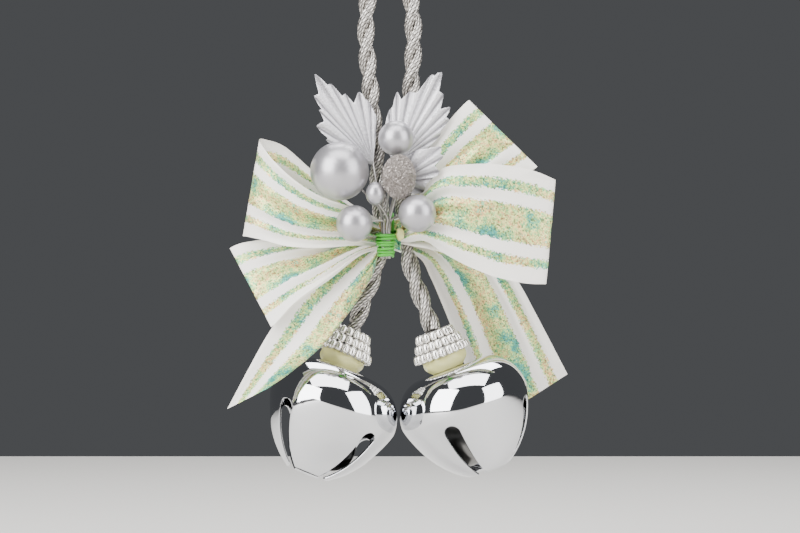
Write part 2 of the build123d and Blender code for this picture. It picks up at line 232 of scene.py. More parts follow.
def paintedShadeMaterial(name, low, high, metallic, roughness, scale, depth):  # painted shade: dark in the grooves, light on the ridges, from a per-point shade value
    material, tree, shader = newMaterial(name, high, metallic, roughness)
    addGrain(tree, shader, scale, depth)
    # the per-point value is painted shade: low gives the shaded colour, high the material's own colour
    paintedShade = addNode(tree, "ShaderNodeAttribute", {"attribute_name": "paintedShade"})
    tree.links.new(colorRamp(tree, paintedShade.outputs["Fac"], [(0.05, low), (0.75, high)]),
                   shader.inputs["Base Color"])
    return material


def grainMaterial(name, code, metallic, roughness, scale, depth):  # one colour with a fine grain
    material, tree, shader = newMaterial(name, code, metallic, roughness)
    addGrain(tree, shader, scale, depth)
    return material


ribbon = ribbonMaterial()
# spun metallised film: bright strands, painted shade nearly black between them, glints 0.4 mm apart
yarn = paintedShadeMaterial("silver metallic yarn", "#35312e", "#e2ddd7", 0.8, 0.3, 2500, 0.0002)
# embossed foil on paper: soft shine, painted shade darkening the grooves, grain of 0.7 mm
leafFoil = paintedShadeMaterial("silver foil leaf", "#69676c", "#dedce1", 0.55, 0.4, 1500, 0.0006)
# dipped pearl paint: wide soft highlight with a very fine grain
pearl = grainMaterial("satin silver pearl paint", "#b2b0b4", 0.75, 0.34, 2600, 0.00003)
# crushed glitter stuck on a berry: dull mass with single bright faces
sugar = grainMaterial("silver glitter grains", "#918a85", 0.75, 0.36, 3000, 0.0001)
# polished plating: a mirror
chrome = newMaterial("chrome plated steel", "#d9dadd", 1.0, 0.045)[0]
# silvered plastic: bright and slightly blurred
silverBead = newMaterial("silvered bead", "#efece7", 0.88, 0.2)[0]
# tumbled steel: dark, blurred reflections
bareSteel = newMaterial("bare steel ball", "#7c7b7a", 1.0, 0.3)[0]
# drawn and painted wire: satin
stemMetal = newMaterial("silver wire", "#a19e9a", 0.85, 0.34)[0]
# enamelled wire: a soft gloss
greenWire = newMaterial("green florist wire", "#41a32c", 0.0, 0.42)[0]
# set hot glue: pale yellow, lets part of the light through
amber = newMaterial("clear amber glue", "#f3efa2", 0.0, 0.24,
                    {"Transmission Weight": 0.35, "IOR": 1.48})[0]
# moulded core, hidden by the beads: matt
plainGrey = newMaterial("grey plastic", "#9a9896", 0.0, 0.5)[0]
print("materials made")


cordLook = {"diameter": 6.2, "lay": 22.0, "offset": 1.5, "out": 1.6, "across": 1.8,
            "ridges": 9, "ridgePitch": 5.2, "plaitPitch": 2.6, "ridgeDepth": 0.12, "step": 0.42,
            "around": 44}
# routes in mm: the loop from the tie over the hook and back, the drops from the tie to the caps
loopRoute = [(-3.0, 0, -91.45), (-4.2, 0, -78), (-5.6, 0, -60), (-7.4, 0, -41), (-9.3, 0, -22),
             (-7.6, 0, -4), (-3.2, 0, 3.1), (3.4, 0, 3.1), (7.4, 0, -5), (9.0, 0, -23),
             (7.9, 0, -41), (6.0, 0, -60), (4.8, 0, -78), (5.0, 0, -91.45)]
leftRoute = [(-3.0, 0, -95.0), (-4.4, 0.4, -107.5), (-9.4, 1.3, -120.1), (-13.7, 2.0, -131.8)]
rightRoute = [(5.0, 0, -95.0), (7.0, 0, -107.4), (11.5, 0, -120.0), (15.8, 0, -131.9)]


def cordLine(route):  # even steps along a NURBS line over the route
    curve = bpy.data.curves.new("line", "CURVE")
    curve.dimensions = "3D"
    line = curve.splines.new("NURBS")
    line.points.add(len(route) - 1)
    line.points.foreach_set("co", np.array([(*p, 1) for p in route], float).ravel())
    line.order_u = 3
    line.use_endpoint_u = True
    line.resolution_u = 24
    holder = bpy.data.objects.new("line", curve)
    mesh = bpy.data.meshes.new_from_object(holder)
    points = np.empty(len(mesh.vertices) * 3)
    mesh.vertices.foreach_get("co", points)
    points = points.reshape(-1, 3)
    bpy.data.objects.remove(holder)
    bpy.data.meshes.remove(mesh)
    run = np.concatenate([[0], np.cumsum(np.linalg.norm(np.diff(points, axis=0), axis=1))])
    s = np.linspace(0, run[-1], int(run[-1] / cordLook["step"]))
    return s, np.stack([np.interp(s, run, points[:, k]) for k in range(3)], -1)


def makeCord(name, node, route, body, phase):
    # strand k: path + offset (cos a, sin a), a = 2 pi s / lay + pi k; yarn ridges run the other
    # way round it, r = (out, across) (1 + depth cos(n t + 2 pi s / pitch))
    look = cordLook
    s, path = cordLine(route)
    tangent, side, up = pathFrames(path)
    around = look["around"]
    t = np.linspace(0, 2 * np.pi, around, endpoint=False)
    grids, paintedShades = [], []
    for k in range(2):
        a = (2 * np.pi * s / look["lay"] + np.pi * k + phase)[:, None]
        out = np.cos(a) * side + np.sin(a) * up
        middle = path + look["offset"] * out
        along = unit(np.gradient(middle, axis=0))
        out = unit(out - (out * along).sum(1, keepdims=True) * along)
        wide = np.cross(along, out)
        wave = np.cos(look["ridges"] * t + 2 * np.pi * s[:, None] / look["ridgePitch"])
        swell = 1 + look["ridgeDepth"] * (np.sqrt(0.5 + 0.5 * wave) * 2 - 1)
        ring = (look["out"] * np.cos(t)[None, :, None] * out[:, None]
                + look["across"] * np.sin(t)[None, :, None] * wide[:, None])
        grid = middle[:, None] + swell[..., None] * ring
        ends = [np.repeat(middle[e][None, None], around, axis=1) for e in (0, -1)]
        grids.append(np.concatenate([ends[0], grid, ends[1]]))
        # painted shade: darker in the grooves between the yarn ridges and in bands crossing them the
        # other way; the end points get none and go darkest
        plait = 0.6 + 0.4 * np.cos(look["ridges"] * t - 2 * np.pi * s[:, None] / look["plaitPitch"])
        paintedShades.append(np.pad(np.sqrt(0.5 + 0.5 * wave) * plait, ((1, 1), (0, 0))))
    points, faces = joined(grids)
    obj = addMesh(name, points, faces, yarn, body, [node], paintedShade=np.array(paintedShades))


makeCord("loopCord", "hanging_loop_cord", loopRoute, "hanger", 0.4)
makeCord("leftDropCord", "left_drop_cord", leftRoute, "left_drop", 2.2)
makeCord("rightDropCord", "right_drop_cord", rightRoute, "right_drop", 0.9)
print("cords made")


bellPlaces = {
    "left": {"hinge": (-13.7, 2.0, -131.8), "lean": 22.5, "nod": 8.0, "shift": 4.2, "slots": 45.0},
    "right": {"hinge": (15.8, 0, -131.9), "lean": -21.0, "nod": 0.0, "shift": 0.8, "slots": 70.6},
}
capLook = {"rows": [("top", 6.35, 15), ("middle", 7.8, 19), ("bottom", 9.4, 22)],  # ring r, count
           "beadR": 1.3, "beadH": 3.3, "flare": 11.0, "glueH": 5.2, "topR": 5.0,
           "socketR": 3.6, "socketDeep": 4.0, "glueR": (8.1, 5.8)}
bellLook = {"radius": 24.5, "flatR": 12.0, "crownH": 15.3, "thick": 0.7, "holeR": 8.2,
            "slotTop": -6.4, "slotRound": 3.1, "slotW": 7.0, "slotApex": -6.0,
            "petal": [(24.5, 0), (19.9, -12.8), (4.0, -26.7)],  # three (r, z) on a petal's arc
            "flatten": 0.045, "flatFrom": 3.0, "flatOver": 13.0, "edge": 0.08,
            "ballR": 8.8, "ballDrop": 13.2}


def capFrame(side):  # axes as rows: across, towards the back, up along the bell
    lean, nod = (np.radians(bellPlaces[side][k]) for k in ("lean", "nod"))
    up = np.array([np.sin(lean) * np.cos(nod), np.sin(nod), np.cos(lean) * np.cos(nod)])
    across = np.array([np.cos(lean), 0, -np.sin(lean)])
    return np.stack([across, np.cross(up, across), up])


def placed(side, points):  # points in the cap's frame, z 0 at its top
    return np.asarray(points) @ capFrame(side) + np.array(bellPlaces[side]["hinge"], float)


def bellCentre(side):  # in the cap's frame
    down = len(capLook["rows"]) * capLook["beadH"] + capLook["glueH"] + bellLook["crownH"]
    return np.array([bellPlaces[side]["shift"], 0, -down])


def meridian():  # rows of (r, z): flat crown, elliptic shoulder, then an arc down each petal
    look = bellLook
    crown = [(r, look["crownH"] - 0.012 * r) for r in np.linspace(0.02, look["flatR"] - 1, 8)]
    turn = np.radians(np.linspace(88, 0, 30))
    shoulder = np.stack([look["flatR"] + (look["radius"] - look["flatR"]) * np.cos(turn),
                         look["crownH"] * np.sin(turn)], -1)
    a, b, c = np.array(look["petal"])
    d = 2 * (a[0] * (b[1] - c[1]) + b[0] * (c[1] - a[1]) + c[0] * (a[1] - b[1]))
    sq = [p @ p for p in (a, b, c)]
    centre = np.array([sq[0] * (b[1] - c[1]) + sq[1] * (c[1] - a[1]) + sq[2] * (a[1] - b[1]),
                       sq[0] * (c[0] - b[0]) + sq[1] * (a[0] - c[0]) + sq[2] * (b[0] - a[0])]) / d
    rad = np.linalg.norm(a - centre)
    first, last = (np.arctan2(*(p - centre)[::-1]) for p in (a, c))
    fine = np.linspace(first, last, 4000)
    arc = centre + rad * np.stack([np.cos(fine), np.sin(fine)], -1)
    arc = arc[arc[:, 0] >= look["holeR"]]
    drop = look["slotTop"] + look["slotRound"]
    roundEnd = look["slotTop"] + look["slotRound"] * np.cos(np.linspace(0, np.pi / 2, 12))
    heights = np.concatenate([np.linspace(-0.4, drop + 0.3, 5), roundEnd,
                              np.linspace(look["slotTop"] - 0.5, arc[-1, 1], 34)])
    petals = np.stack([np.interp(-heights, -arc[:, 1], arc[:, 0]), heights], -1)
    return np.concatenate([crown, shoulder, petals])


def makeBell(side):
    # four petals, each a grid over the meridian and over -1..1 between two slots; the half
    # angle is 45 degrees less asin(half slot width / r), and the middle of a petal is drawn in
    look = bellLook
    rows = meridian()
    r, z = rows[:, 0], rows[:, 1]
    taper = look["slotW"] / 2 * (r - look["slotApex"]) / (look["radius"] + 3 - look["slotApex"])
    under = np.clip(look["slotRound"]**2 - (z - look["slotTop"])**2, 0, None)
    half = np.where(z <= look["slotTop"], taper, np.where(z < 0, np.sqrt(under), 0))
    reach = np.pi / 4 - np.arcsin(np.clip(half / r, 0, 0.7))
    w = np.linspace(-1, 1, 29)
    fade = np.clip((look["flatFrom"] - z) / look["flatOver"], 0, 1)
    fade = look["flatten"] * fade**2 * (3 - 2 * fade)
    grids = []
    for k in range(4):
        middle = np.radians(bellPlaces[side]["slots"] + 45 + 90 * k)
        turn = middle + reach[:, None] * w
        flat = fade[:, None] * np.cos(2 * (turn - middle))
        wide = r[:, None] * (1 - flat)
        grids.append(np.stack([wide * np.cos(turn), wide * np.sin(turn),
                               np.broadcast_to(z[:, None], turn.shape)], -1))
    points, faces = joined(grids, closed=False)
    obj = addMesh(side + "BellShell", placed(side, points + bellCentre(side)), faces, chrome,
                  side + "_bell", [side + "_bell_shell"])
    weld = obj.modifiers.new("seams", "WELD")
    weld.merge_threshold = 0.00003
    wall = obj.modifiers.new("sheet", "SOLIDIFY")
    wall.thickness = look["thick"] * mm
    wall.offset = -1
    edges = obj.modifiers.new("cut edges", "BEVEL")
    edges.width = look["edge"] * mm
    edges.segments = 2
    edges.angle_limit = np.radians(60)


def makeCap(side):  # beads are barrels turned about their own axis, leaning out on each ring
    look = capLook
    h = look["beadH"] / 2
    wall = look["beadR"]
    half = [(0.3, h * 0.9), (0.36, h * 0.97), (0.6, h), (0.95, h * 0.93), (wall * 0.93, h * 0.72),
            (wall, h * 0.35)]
    outline = [(r, -z) for r, z in half] + half[::-1] + [(0.3, 0), (0.3, -h * 0.9)]
    bead = latheGrid(outline, 18)
    tilt = np.radians(look["flare"])
    for row, (word, ringR, count) in enumerate(look["rows"]):
        turn = (np.arange(count) + 0.3 * row + rng.uniform(-0.06, 0.06, count)) * 2 * np.pi / count
        lean = tilt + rng.uniform(-0.05, 0.05, count)
        x = bead[..., 0] * np.cos(lean)[:, None, None] - bead[..., 2] * np.sin(lean)[:, None, None]
        z = bead[..., 0] * np.sin(lean)[:, None, None] + bead[..., 2] * np.cos(lean)[:, None, None]
        x, y = x + ringR, np.broadcast_to(bead[..., 1], x.shape)
        c, s = np.cos(turn)[:, None, None], np.sin(turn)[:, None, None]
        z = z - look["beadH"] * (row + 0.5)
        points, faces = joined(np.stack([x * c - y * s, x * s + y * c, z], -1))
        addMesh(side + word.title() + "Beads", placed(side, points), faces, silverBead,
                side + "_bell", [f"{side}_bead_row_{word}"])
    socket, deep = look["socketR"], -look["socketDeep"]
    foot = -look["beadH"] * len(look["rows"])
    steps = [(ringR - 1.2, -look["beadH"] * (k + e))
             for k, (_, ringR, _) in enumerate(look["rows"]) for e in (0, 1)]
    core = latheGrid([(socket, deep), (socket, 0), (look["topR"], 0)] + steps
                     + [(0, foot), (0, deep), (socket, deep)], 40)
    points, faces = joined([core])
    addMesh(side + "CapCore", placed(side, points), faces, plainGrey, side + "_bell",
            [side + "_cap_core"])
    rise = np.linspace(0, 1, 16)
    wide, narrow = look["glueR"]
    swell = wide - (wide - narrow) * rise**1.6 + 0.7 * np.sin(np.pi * rise)
    depth = foot - look["glueH"] * rise
    drop = latheGrid([(0.01, foot)] + list(zip(swell, depth)) + [(0.01, depth[-1])], 60)
    turn = np.arctan2(drop[..., 1], drop[..., 0])
    wobble = 1 + 0.035 * np.sin(3 * turn + 1) + 0.02 * np.sin(7 * turn + drop[..., 2])
    drop[..., :2] *= wobble[..., None]
    points, faces = joined([drop])
    addMesh(side + "CapGlue", placed(side, points), faces, amber, side + "_bell",
            [side + "_cap_glue"])


def sphereGrid(radius, rows, cols, squash=(1, 1, 1)):  # from pole to pole along Z
    turn = np.linspace(-np.pi / 2, np.pi / 2, rows)
    outline = np.stack([radius * np.maximum(np.cos(turn), 1e-4), radius * np.sin(turn)], -1)
    return latheGrid(outline, cols) * np.array(squash)


for side in bellPlaces:
    makeBell(side)
    makeCap(side)
    middle = placed(side, bellCentre(side)) - [0, 0, bellLook["ballDrop"]]  # rests low in the shell
    points, faces = joined([sphereGrid(bellLook["ballR"], 40, 64) + middle])
    addMesh(side + "JingleBall", points, faces, bareSteel, side + "_ball",
            [side + "_jingle_ball"])
print("bells made")


bowLook = {"width": 38.0, "cols": 49, "pleats": 4, "keep": 1.06, "deepest": 2.2, "calm": 2.0,
           "tailBack": 1.0, "foldShare": 0.86, "slant": 0.06}
# pairs of (upper edge, lower edge) along each ribbon, in mm
bowLoops = {
    "bow_loop_upper_left": [
        ((-4.05, -9.0, -91.5), (-4.05, -9.0, -101.0)),
        ((-12.0, -13.5, -87.3), (-13.0, -13.0, -100.5)),
        ((-23.7, -17.5, -83.5), (-24.0, -16.5, -101.3)),
        ((-33.5, -18.5, -77.6), (-36.0, -17.5, -101.0)),
        ((-41.5, -17.0, -70.4), (-46.0, -16.0, -98.6)),
        ((-46.0, -14.0, -64.8), (-51.5, -13.5, -97.4)),
        ((-47.6, -10.5, -62.0), (-53.6, -10.5, -97.0)),
        ((-45.5, -6.5, -61.8), (-51.5, -7.5, -96.2)),
        ((-38.5, -3.0, -64.3), (-44.0, -4.0, -94.5)),
        ((-28.5, -2.5, -73.0), (-31.0, -3.2, -94.0)),
        ((-16.0, -4.6, -84.0), (-16.0, -4.4, -95.0)),
        ((-4.05, -5.4, -91.5), (-4.05, -5.4, -99.0))],
    "bow_loop_lower_left": [
        ((-4.05, -7.8, -93.0), (-4.05, -7.8, -102.0)),
        ((-14.0, -8.6, -96.0), (-12.0, -10.5, -104.8)),
        ((-28.0, -9.0, -97.4), (-24.0, -16.0, -113.8)),
        ((-42.0, -9.5, -98.2), (-34.0, -21.5, -121.2)),
        ((-53.5, -10.0, -99.6), (-40.5, -24.5, -128.0)),
        ((-58.4, -9.0, -101.6), (-42.7, -24.4, -130.0)),
        ((-53.5, -7.5, -100.2), (-40.0, -22.4, -127.6)),
        ((-42.0, -5.8, -98.8), (-33.0, -19.0, -120.5)),
        ((-28.0, -5.2, -98.2), (-23.0, -13.5, -113.0)),
        ((-14.0, -6.0, -97.4), (-11.5, -8.6, -104.3)),
        ((-4.05, -6.6, -93.0), (-4.05, -6.6, -102.0))],
    "bow_loop_right": [
        ((4.05, -9.0, -91.0), (4.05, -9.0, -100.0)),
        ((10.5, -13.0, -81.5), (11.5, -13.0, -99.0)),
        ((18.3, -17.0, -73.0), (18.8, -16.5, -103.2)),
        ((29.0, -19.0, -71.2), (28.0, -18.0, -108.0)),
        ((40.2, -18.5, -71.4), (38.0, -17.5, -111.9)),
        ((51.0, -16.0, -73.2), (48.5, -15.5, -114.2)),
        ((58.6, -13.5, -76.0), (55.5, -13.5, -114.6)),
        ((60.2, -11.5, -77.0), (56.8, -11.5, -114.4)),
        ((57.0, -10.3, -77.0), (54.0, -10.3, -113.8)),
        ((47.0, -9.8, -75.6), (44.0, -9.8, -111.5)),
        ((34.0, -9.2, -77.0), (32.0, -9.2, -107.5)),
        ((18.0, -8.5, -83.0), (17.0, -8.5, -102.5)),
        ((4.05, -7.8, -91.0), (4.05, -7.8, -100.0))],
    "bow_loop_upper_right": [
        ((4.05, -6.6, -90.6), (4.05, -6.6, -98.5)),
        ((8.5, -6.6, -80.0), (16.5, -6.8, -92.5)),
        ((13.5, -6.4, -66.5), (31.0, -6.4, -84.5)),
        ((20.0, -6.2, -56.8), (43.0, -6.2, -77.8)),
        ((26.5, -5.6, -49.4), (51.5, -5.6, -73.2)),
        ((29.0, -3.8, -47.2), (54.0, -3.8, -71.6)),
        ((26.5, -1.8, -49.6), (51.5, -1.8, -73.4)),
        ((20.5, -0.8, -56.6), (43.0, -0.8, -77.6)),
        ((14.5, -1.6, -67.0), (31.0, -1.6, -84.5)),
        ((9.5, -4.4, -80.5), (17.0, -3.8, -92.5)),
        ((4.05, -5.4, -90.6), (4.05, -5.4, -98.5))],
}
ribbonTails = {
    "ribbon_tail_left": [
        ((-4.05, -4.4, -97.5), (-4.05, -4.4, -103.2)),
        ((-13.0, -5.4, -102.0), (-5.5, -5.8, -109.6)),
        ((-24.5, -8.5, -108.8), (-10.5, -8.8, -118.6)),
        ((-34.5, -14.0, -118.4), (-16.8, -14.0, -127.4)),
        ((-43.2, -20.6, -131.4), (-24.2, -20.0, -136.4)),
        ((-50.2, -26.0, -144.0), (-35.0, -25.6, -145.6)),
        ((-58.2, -28.4, -159.2), (-43.6, -28.4, -151.8))],
    "ribbon_tail_right": [
        ((2.5, 4.7, -92.5), (-2.5, 4.7, -101.0)),
        ((16.0, 6.4, -94.0), (6.0, 6.4, -103.0)),
        ((30.0, 8.5, -99.0), (11.6, 8.8, -106.0)),
        ((41.0, 11.0, -106.0), (14.8, 12.0, -112.0)),
        ((47.8, 14.5, -114.2), (18.6, 16.5, -120.5)),
        ((54.0, 19.5, -125.0), (24.0, 22.0, -134.0)),
        ((60.5, 24.5, -137.0), (29.8, 27.0, -151.0)),
        ((66.8, 28.5, -148.8), (35.0, 30.5, -169.5))],
}


def pieceName(node):  # bow_loop_right becomes BowLoopRight
    return node.replace("_", " ").title().replace(" ", "")


def makeRibbon(node, stations, folded):
    # point = upper + (lower - upper) u + normal A cos(2 pi n u + phase), A chosen so that the
    # pleated width comes to keep times the ribbon's flat width
    look = bowLook
    rows = 12 * (len(stations) - 1) + 1
    line = splinePoints(np.array(stations, float), rows)
    upper, lower = line[:, 0], line[:, 1]
    centre = (upper + lower) / 2
    run = np.concatenate([[0], np.cumsum(np.linalg.norm(np.diff(centre, axis=0), axis=1))])
    u = np.linspace(0, 1, look["cols"])
    if folded:
        v = np.where(u < 0.5, 2 * u, 1 - look["foldShare"] * (2 * u - 1))
        back = np.clip((u - 0.47) / 0.06, 0, 1) * look["tailBack"]
    else:
        v, back = u, np.zeros_like(u)
    points = upper[:, None] + (lower - upper)[:, None] * v[None, :, None]
    width = np.linalg.norm(lower - upper, axis=1) * (2 if folded else 1)
    ratio = np.maximum(look["keep"] * look["width"] / width, 1)
    waves = look["pleats"] * (0.5 if folded else 1)
    slope = np.sqrt(2.4 * (np.minimum(ratio, 3)**2 - 1))
    depth = np.minimum(slope * width / waves / (2 * np.pi), look["deepest"])
    way = run / run[-1]
    way = 1 - np.abs(2 * way - 1) if "loop" in node else way
    depth = depth * (1 - way**look["calm"])
    soft = np.convolve(np.pad(depth, 4, mode="edge"), np.ones(9) / 9, mode="valid")
    along = unit(np.gradient(points, axis=0))
    normal = unit(np.cross(along, (upper - lower)[:, None]))
    phase = rng.uniform(0, 6)
    drift = 0.5 * np.sin(run / 17 + phase)[:, None]
    uneven = u + look["slant"] * np.sin(2 * np.pi * u + phase)
    wave = np.cos(2 * np.pi * look["pleats"] * uneven + phase + drift)
    wave = wave * (0.75 + 0.25 * np.cos(2 * np.pi * u * 1.5 + phase))
    points = points + normal * (soft[:, None] * wave)[..., None]
    points[..., 1] += back
    uv = np.stack(np.broadcast_arrays(u[None], (run / look["width"])[:, None]), -1)
    faces = gridFaces(rows, look["cols"], False)
    obj = addMesh(pieceName(node), points, faces, ribbon, "hanger", [node], uv=uv,
                  outward=False)


for node, stations in (bowLoops | ribbonTails).items():
    makeRibbon(node, stations, folded=node == "ribbon_tail_left")


gatherLook = {"half": 4.0, "y": -6.6, "z": -96.6, "deep": 2.9, "high": 6.3, "pleats": 17,
              "pleatDepth": 0.06, "pinch": 0.16, "around": 120}


def makeGather():  # rounded box along X with pleats round it, pinched in the middle
    look = gatherLook
    x = np.linspace(-look["half"], look["half"], 25)
    t = np.linspace(0, 2 * np.pi, look["around"], endpoint=False)
    pinch = 1 - look["pinch"] + look["pinch"] * (x / look["half"])**2
    pleat = 1 + look["pleatDepth"] * np.cos(look["pleats"] * t + 0.5 * np.sin(3 * t))
    squared = 1 / (np.abs(np.cos(t))**3 + np.abs(np.sin(t))**3)**(1 / 3)
    y = look["y"] + look["deep"] * pinch[:, None] * squared * pleat * np.cos(t)
    z = look["z"] + look["high"] * pinch[:, None] * squared * pleat * np.sin(t)
    grid = np.stack([np.broadcast_to(x[:, None], y.shape), y, z], -1)
    ends = [np.repeat(grid[k].mean(0)[None, None], look["around"], axis=1) for k in (0, -1)]
    grid = np.concatenate([ends[0], grid, ends[1]])
    along = np.linspace(0, 0.2, len(grid))[:, None]
    uv = np.stack(np.broadcast_arrays((t / (2 * np.pi))[None], along), -1)
    points, faces = joined([grid])
    addMesh("bowGather", points, faces, ribbon, "hanger", ["bow_gather"], uv=uv)


makeGather()
print("bow made")


pickLook = {"stemR": 0.4, "ringR": 1.4, "fanR": 2.7, "centre": (-1.5, -13.9), "bunchTop": -94.6,
            "bunchEnd": -105.4}
berries = {
    "large_berry": {"centre": (-18.2, -18.5, -73.7), "r": 10.6, "turnZ": -87.0},
    "top_berry": {"centre": (2.2, -15.2, -61.7), "r": 6.4, "turnZ": -86.0},
    "lower_left_berry": {"centre": (-12.8, -21.2, -92.7), "r": 6.6, "turnZ": -91.6},
    "lower_right_berry": {"centre": (9.9, -21.0, -89.0), "r": 6.8, "turnZ": -90.6},
    "berry_bud": {"centre": (-5.3, -20.6, -81.9), "r": 3.45, "halfH": 4.2, "turnZ": -90.2},
    "glitter_berry": {"centre": (3.3, -20.6, -75.9), "r": 6.0, "halfH": 8.1, "turnZ": -88.6},
}
leaves = {
    "leaf_left": {
        "outline": [(-6.6, -71.2), (-21.2, -63.5), (-23.4, -61.3), (-26.3, -57.3), (-25.2, -53.0),
                    (-26.3, -49.6), (-27.4, -45.0), (-26.6, -38.7), (-21.5, -42.0), (-17.2, -44.9),
                    (-13.6, -46.9), (-10.2, -44.6), (-7.3, -48.9), (-5.1, -52.6), (-5.4, -62.0)],
        "base": (-6.2, -4.9, -70.0), "tip": (-26.6, -9.5, -38.7), "turnZ": -84.0, "ribs": 11},
    "leaf_right": {
        "outline": [(1.8, -71.2), (-1.6, -63.0), (-2.0, -55.8), (0.2, -50.6), (2.4, -45.2),
                    (5.6, -45.6), (11.5, -42.2), (17.5, -36.5), (19.0, -42.0), (19.4, -48.6),
                    (21.9, -51.1), (21.0, -55.4), (18.6, -59.5), (15.3, -63.9), (8.0, -68.6)],
        "base": (1.8, -7.4, -70.4), "tip": (17.5, -9.6, -36.5), "turnZ": -84.0, "ribs": 12},
    "leaf_side": {
        "outline": [(1.8, -78.5), (5.0, -70.5), (11.0, -65.6), (17.7, -65.2), (19.3, -67.9),
                    (17.2, -71.4), (17.6, -75.2), (15.0, -76.5), (13.1, -79.8), (9.3, -82.0)],
        "base": (3.2, -12.2, -77.2), "tip": (18.6, -21.5, -66.4), "turnZ": -86.0, "ribs": 7},
}
# round the bunch, so that no stem crosses another
stemOrder = ["lower_right_berry", "leaf_side", "top_berry", "leaf_right", "leaf_left",
             "large_berry", "lower_left_berry", "berry_bud", "glitter_berry"]


def makeStem(node, start, turnZ):  # from the piece, round a bend at turnZ, down into the bunch
    look = pickLook
    turn = 2 * np.pi * stemOrder.index(node) / len(stemOrder)
    x, y = look["centre"]
    c, s = np.cos(turn), np.sin(turn)
    route = [start, (x + look["fanR"] * c, y + look["fanR"] * s, turnZ),
             (x + look["ringR"] * c, y + look["ringR"] * s, look["bunchTop"]),
             (x + look["ringR"] * c, y + look["ringR"] * s, look["bunchEnd"])]
    points, faces = joined([tubeGrid(splinePoints(route, 40), look["stemR"], 10)])
    addMesh(node + "Stem", points, faces, stemMetal, "hanger", [node + "_stem"])


leafLook = {"rib": 0.42, "fine": 0.06, "cup": 0.006, "groove": 0.405, "grooveW": 0.7, "teeth": 0.045,
            "inset": 0.02, "foil": 0.3}


def makeLeaf(node, leaf):
    # fan from the base to the outline: t 0..1 along, ribs as cos(2 pi n p) standing out of the
    # blade and pushing the edge out into teeth, and a groove down the middle
    look = leafLook
    base, tip = np.array(leaf["base"]), np.array(leaf["tip"])
    outline = np.array(leaf["outline"])
    outline = splinePoints(np.concatenate([outline, outline[:1]]), 301)[:-1]
    p = np.arange(300) / 300
    rib = np.cos(2 * np.pi * leaf["ribs"] * (p - 0.02 * np.sin(2 * np.pi * p)))
    fromBase = outline - base[[0, 2]]
    teeth = look["teeth"] * np.sign(rib) * np.abs(rib)**1.5
    outline = base[[0, 2]] + fromBase * (1 + teeth - look["inset"])[:, None]
    t = np.linspace(0.0, 1, 36)[:, None]
    x = base[0] + (outline[:, 0] - base[0]) * t
    z = base[2] + (outline[:, 1] - base[2]) * t
    axis = (tip - base)[[0, 2]]
    length = np.linalg.norm(axis)
    far = ((x - base[0]) * axis[0] + (z - base[2]) * axis[1]) / length
    aside = ((x - base[0]) * axis[1] - (z - base[2]) * axis[0]) / length
    groove = look["groove"] * np.exp(-(aside / look["grooveW"])**2)
    lift = look["rib"] * rib * t**0.8 + look["cup"] * aside**2 - groove
    fine = np.cos(2 * np.pi * 3 * leaf["ribs"] * p) * t
    y = base[1] + (tip[1] - base[1]) * far / length + lift + look["fine"] * fine
    grid = np.stack([x, y, z], -1)
    # painted shade: darker in the sunken ribs, lighter on the raised ones, with a finer ripple on top
    paintedShade = np.clip(0.62 - 0.45 * rib * t + 0.12 * fine, 0, 1)
    points, faces = joined([grid])
    obj = addMesh(node.replace("leaf_", "leaf").title(), points, faces, leafFoil, "hanger", [node],
                  paintedShade=paintedShade, outward=False)
    wall = obj.modifiers.new("foil", "SOLIDIFY")
    wall.thickness = look["foil"] * mm
    wall.offset = 0


for node, berry in berries.items():
    centre = np.array(berry["centre"])
    high = berry.get("halfH", berry["r"])
    if "halfH" in berry:
        start = centre - [0, 0, 0.5 * high]
    else:
        towards = unit(np.array([*pickLook["centre"], berry["turnZ"]]) - centre)
        start = centre + towards * (berry["r"] - 2.0)
    makeStem(node, tuple(start), berry["turnZ"])
    shape = sphereGrid(berry["r"], 49, 72, (1, 1, high / berry["r"]))
    points, faces = joined([shape + centre])
    if node == "glitter_berry":
        points = centre + (points - centre) * 0.94
    addMesh(pieceName(node), points, faces,
            sugar if node == "glitter_berry" else pearl, "hanger", [node])


grainLook = {"count": 6000, "halfEdge": (0.14, 0.32), "shell": (5.75, 5.75, 7.75)}


def makeGrains():  # small cubes turned at random, set on the glitter berry's skin
    look = grainLook
    count = look["count"]
    away = unit(rng.normal(size=(count, 3)))
    places = away * look["shell"] + np.array(berries["glitter_berry"]["centre"])
    cube = np.array([[x, y, z] for x in (-1, 1) for y in (-1, 1) for z in (-1, 1)])
    cubeFaces = np.array([(0, 1, 3, 2), (4, 6, 7, 5), (0, 4, 5, 1), (2, 3, 7, 6), (0, 2, 6, 4),
                          (1, 5, 7, 3)])
    turned, _ = np.linalg.qr(rng.normal(size=(count, 3, 3)))
    turned *= np.linalg.det(turned)[:, None, None]
    corners = cube @ turned * rng.uniform(*look["halfEdge"], count)[:, None, None]
    points = (corners + places[:, None]).reshape(-1, 3)
    faces = (cubeFaces[None] + 8 * np.arange(count)[:, None, None]).reshape(-1, 4)
    obj = addMesh("glitterGrains", points, faces, sugar, "hanger")
    obj.data.shade_flat()


makeGrains()
for node, leaf in leaves.items():
    makeStem(node, leaf["base"], leaf["turnZ"])
    makeLeaf(node, leaf)


wrapLook = {"turns": 7, "wireR": 0.55, "topR": 3.4, "taper": 0.9, "topZ": -95.9, "height": 8.4}


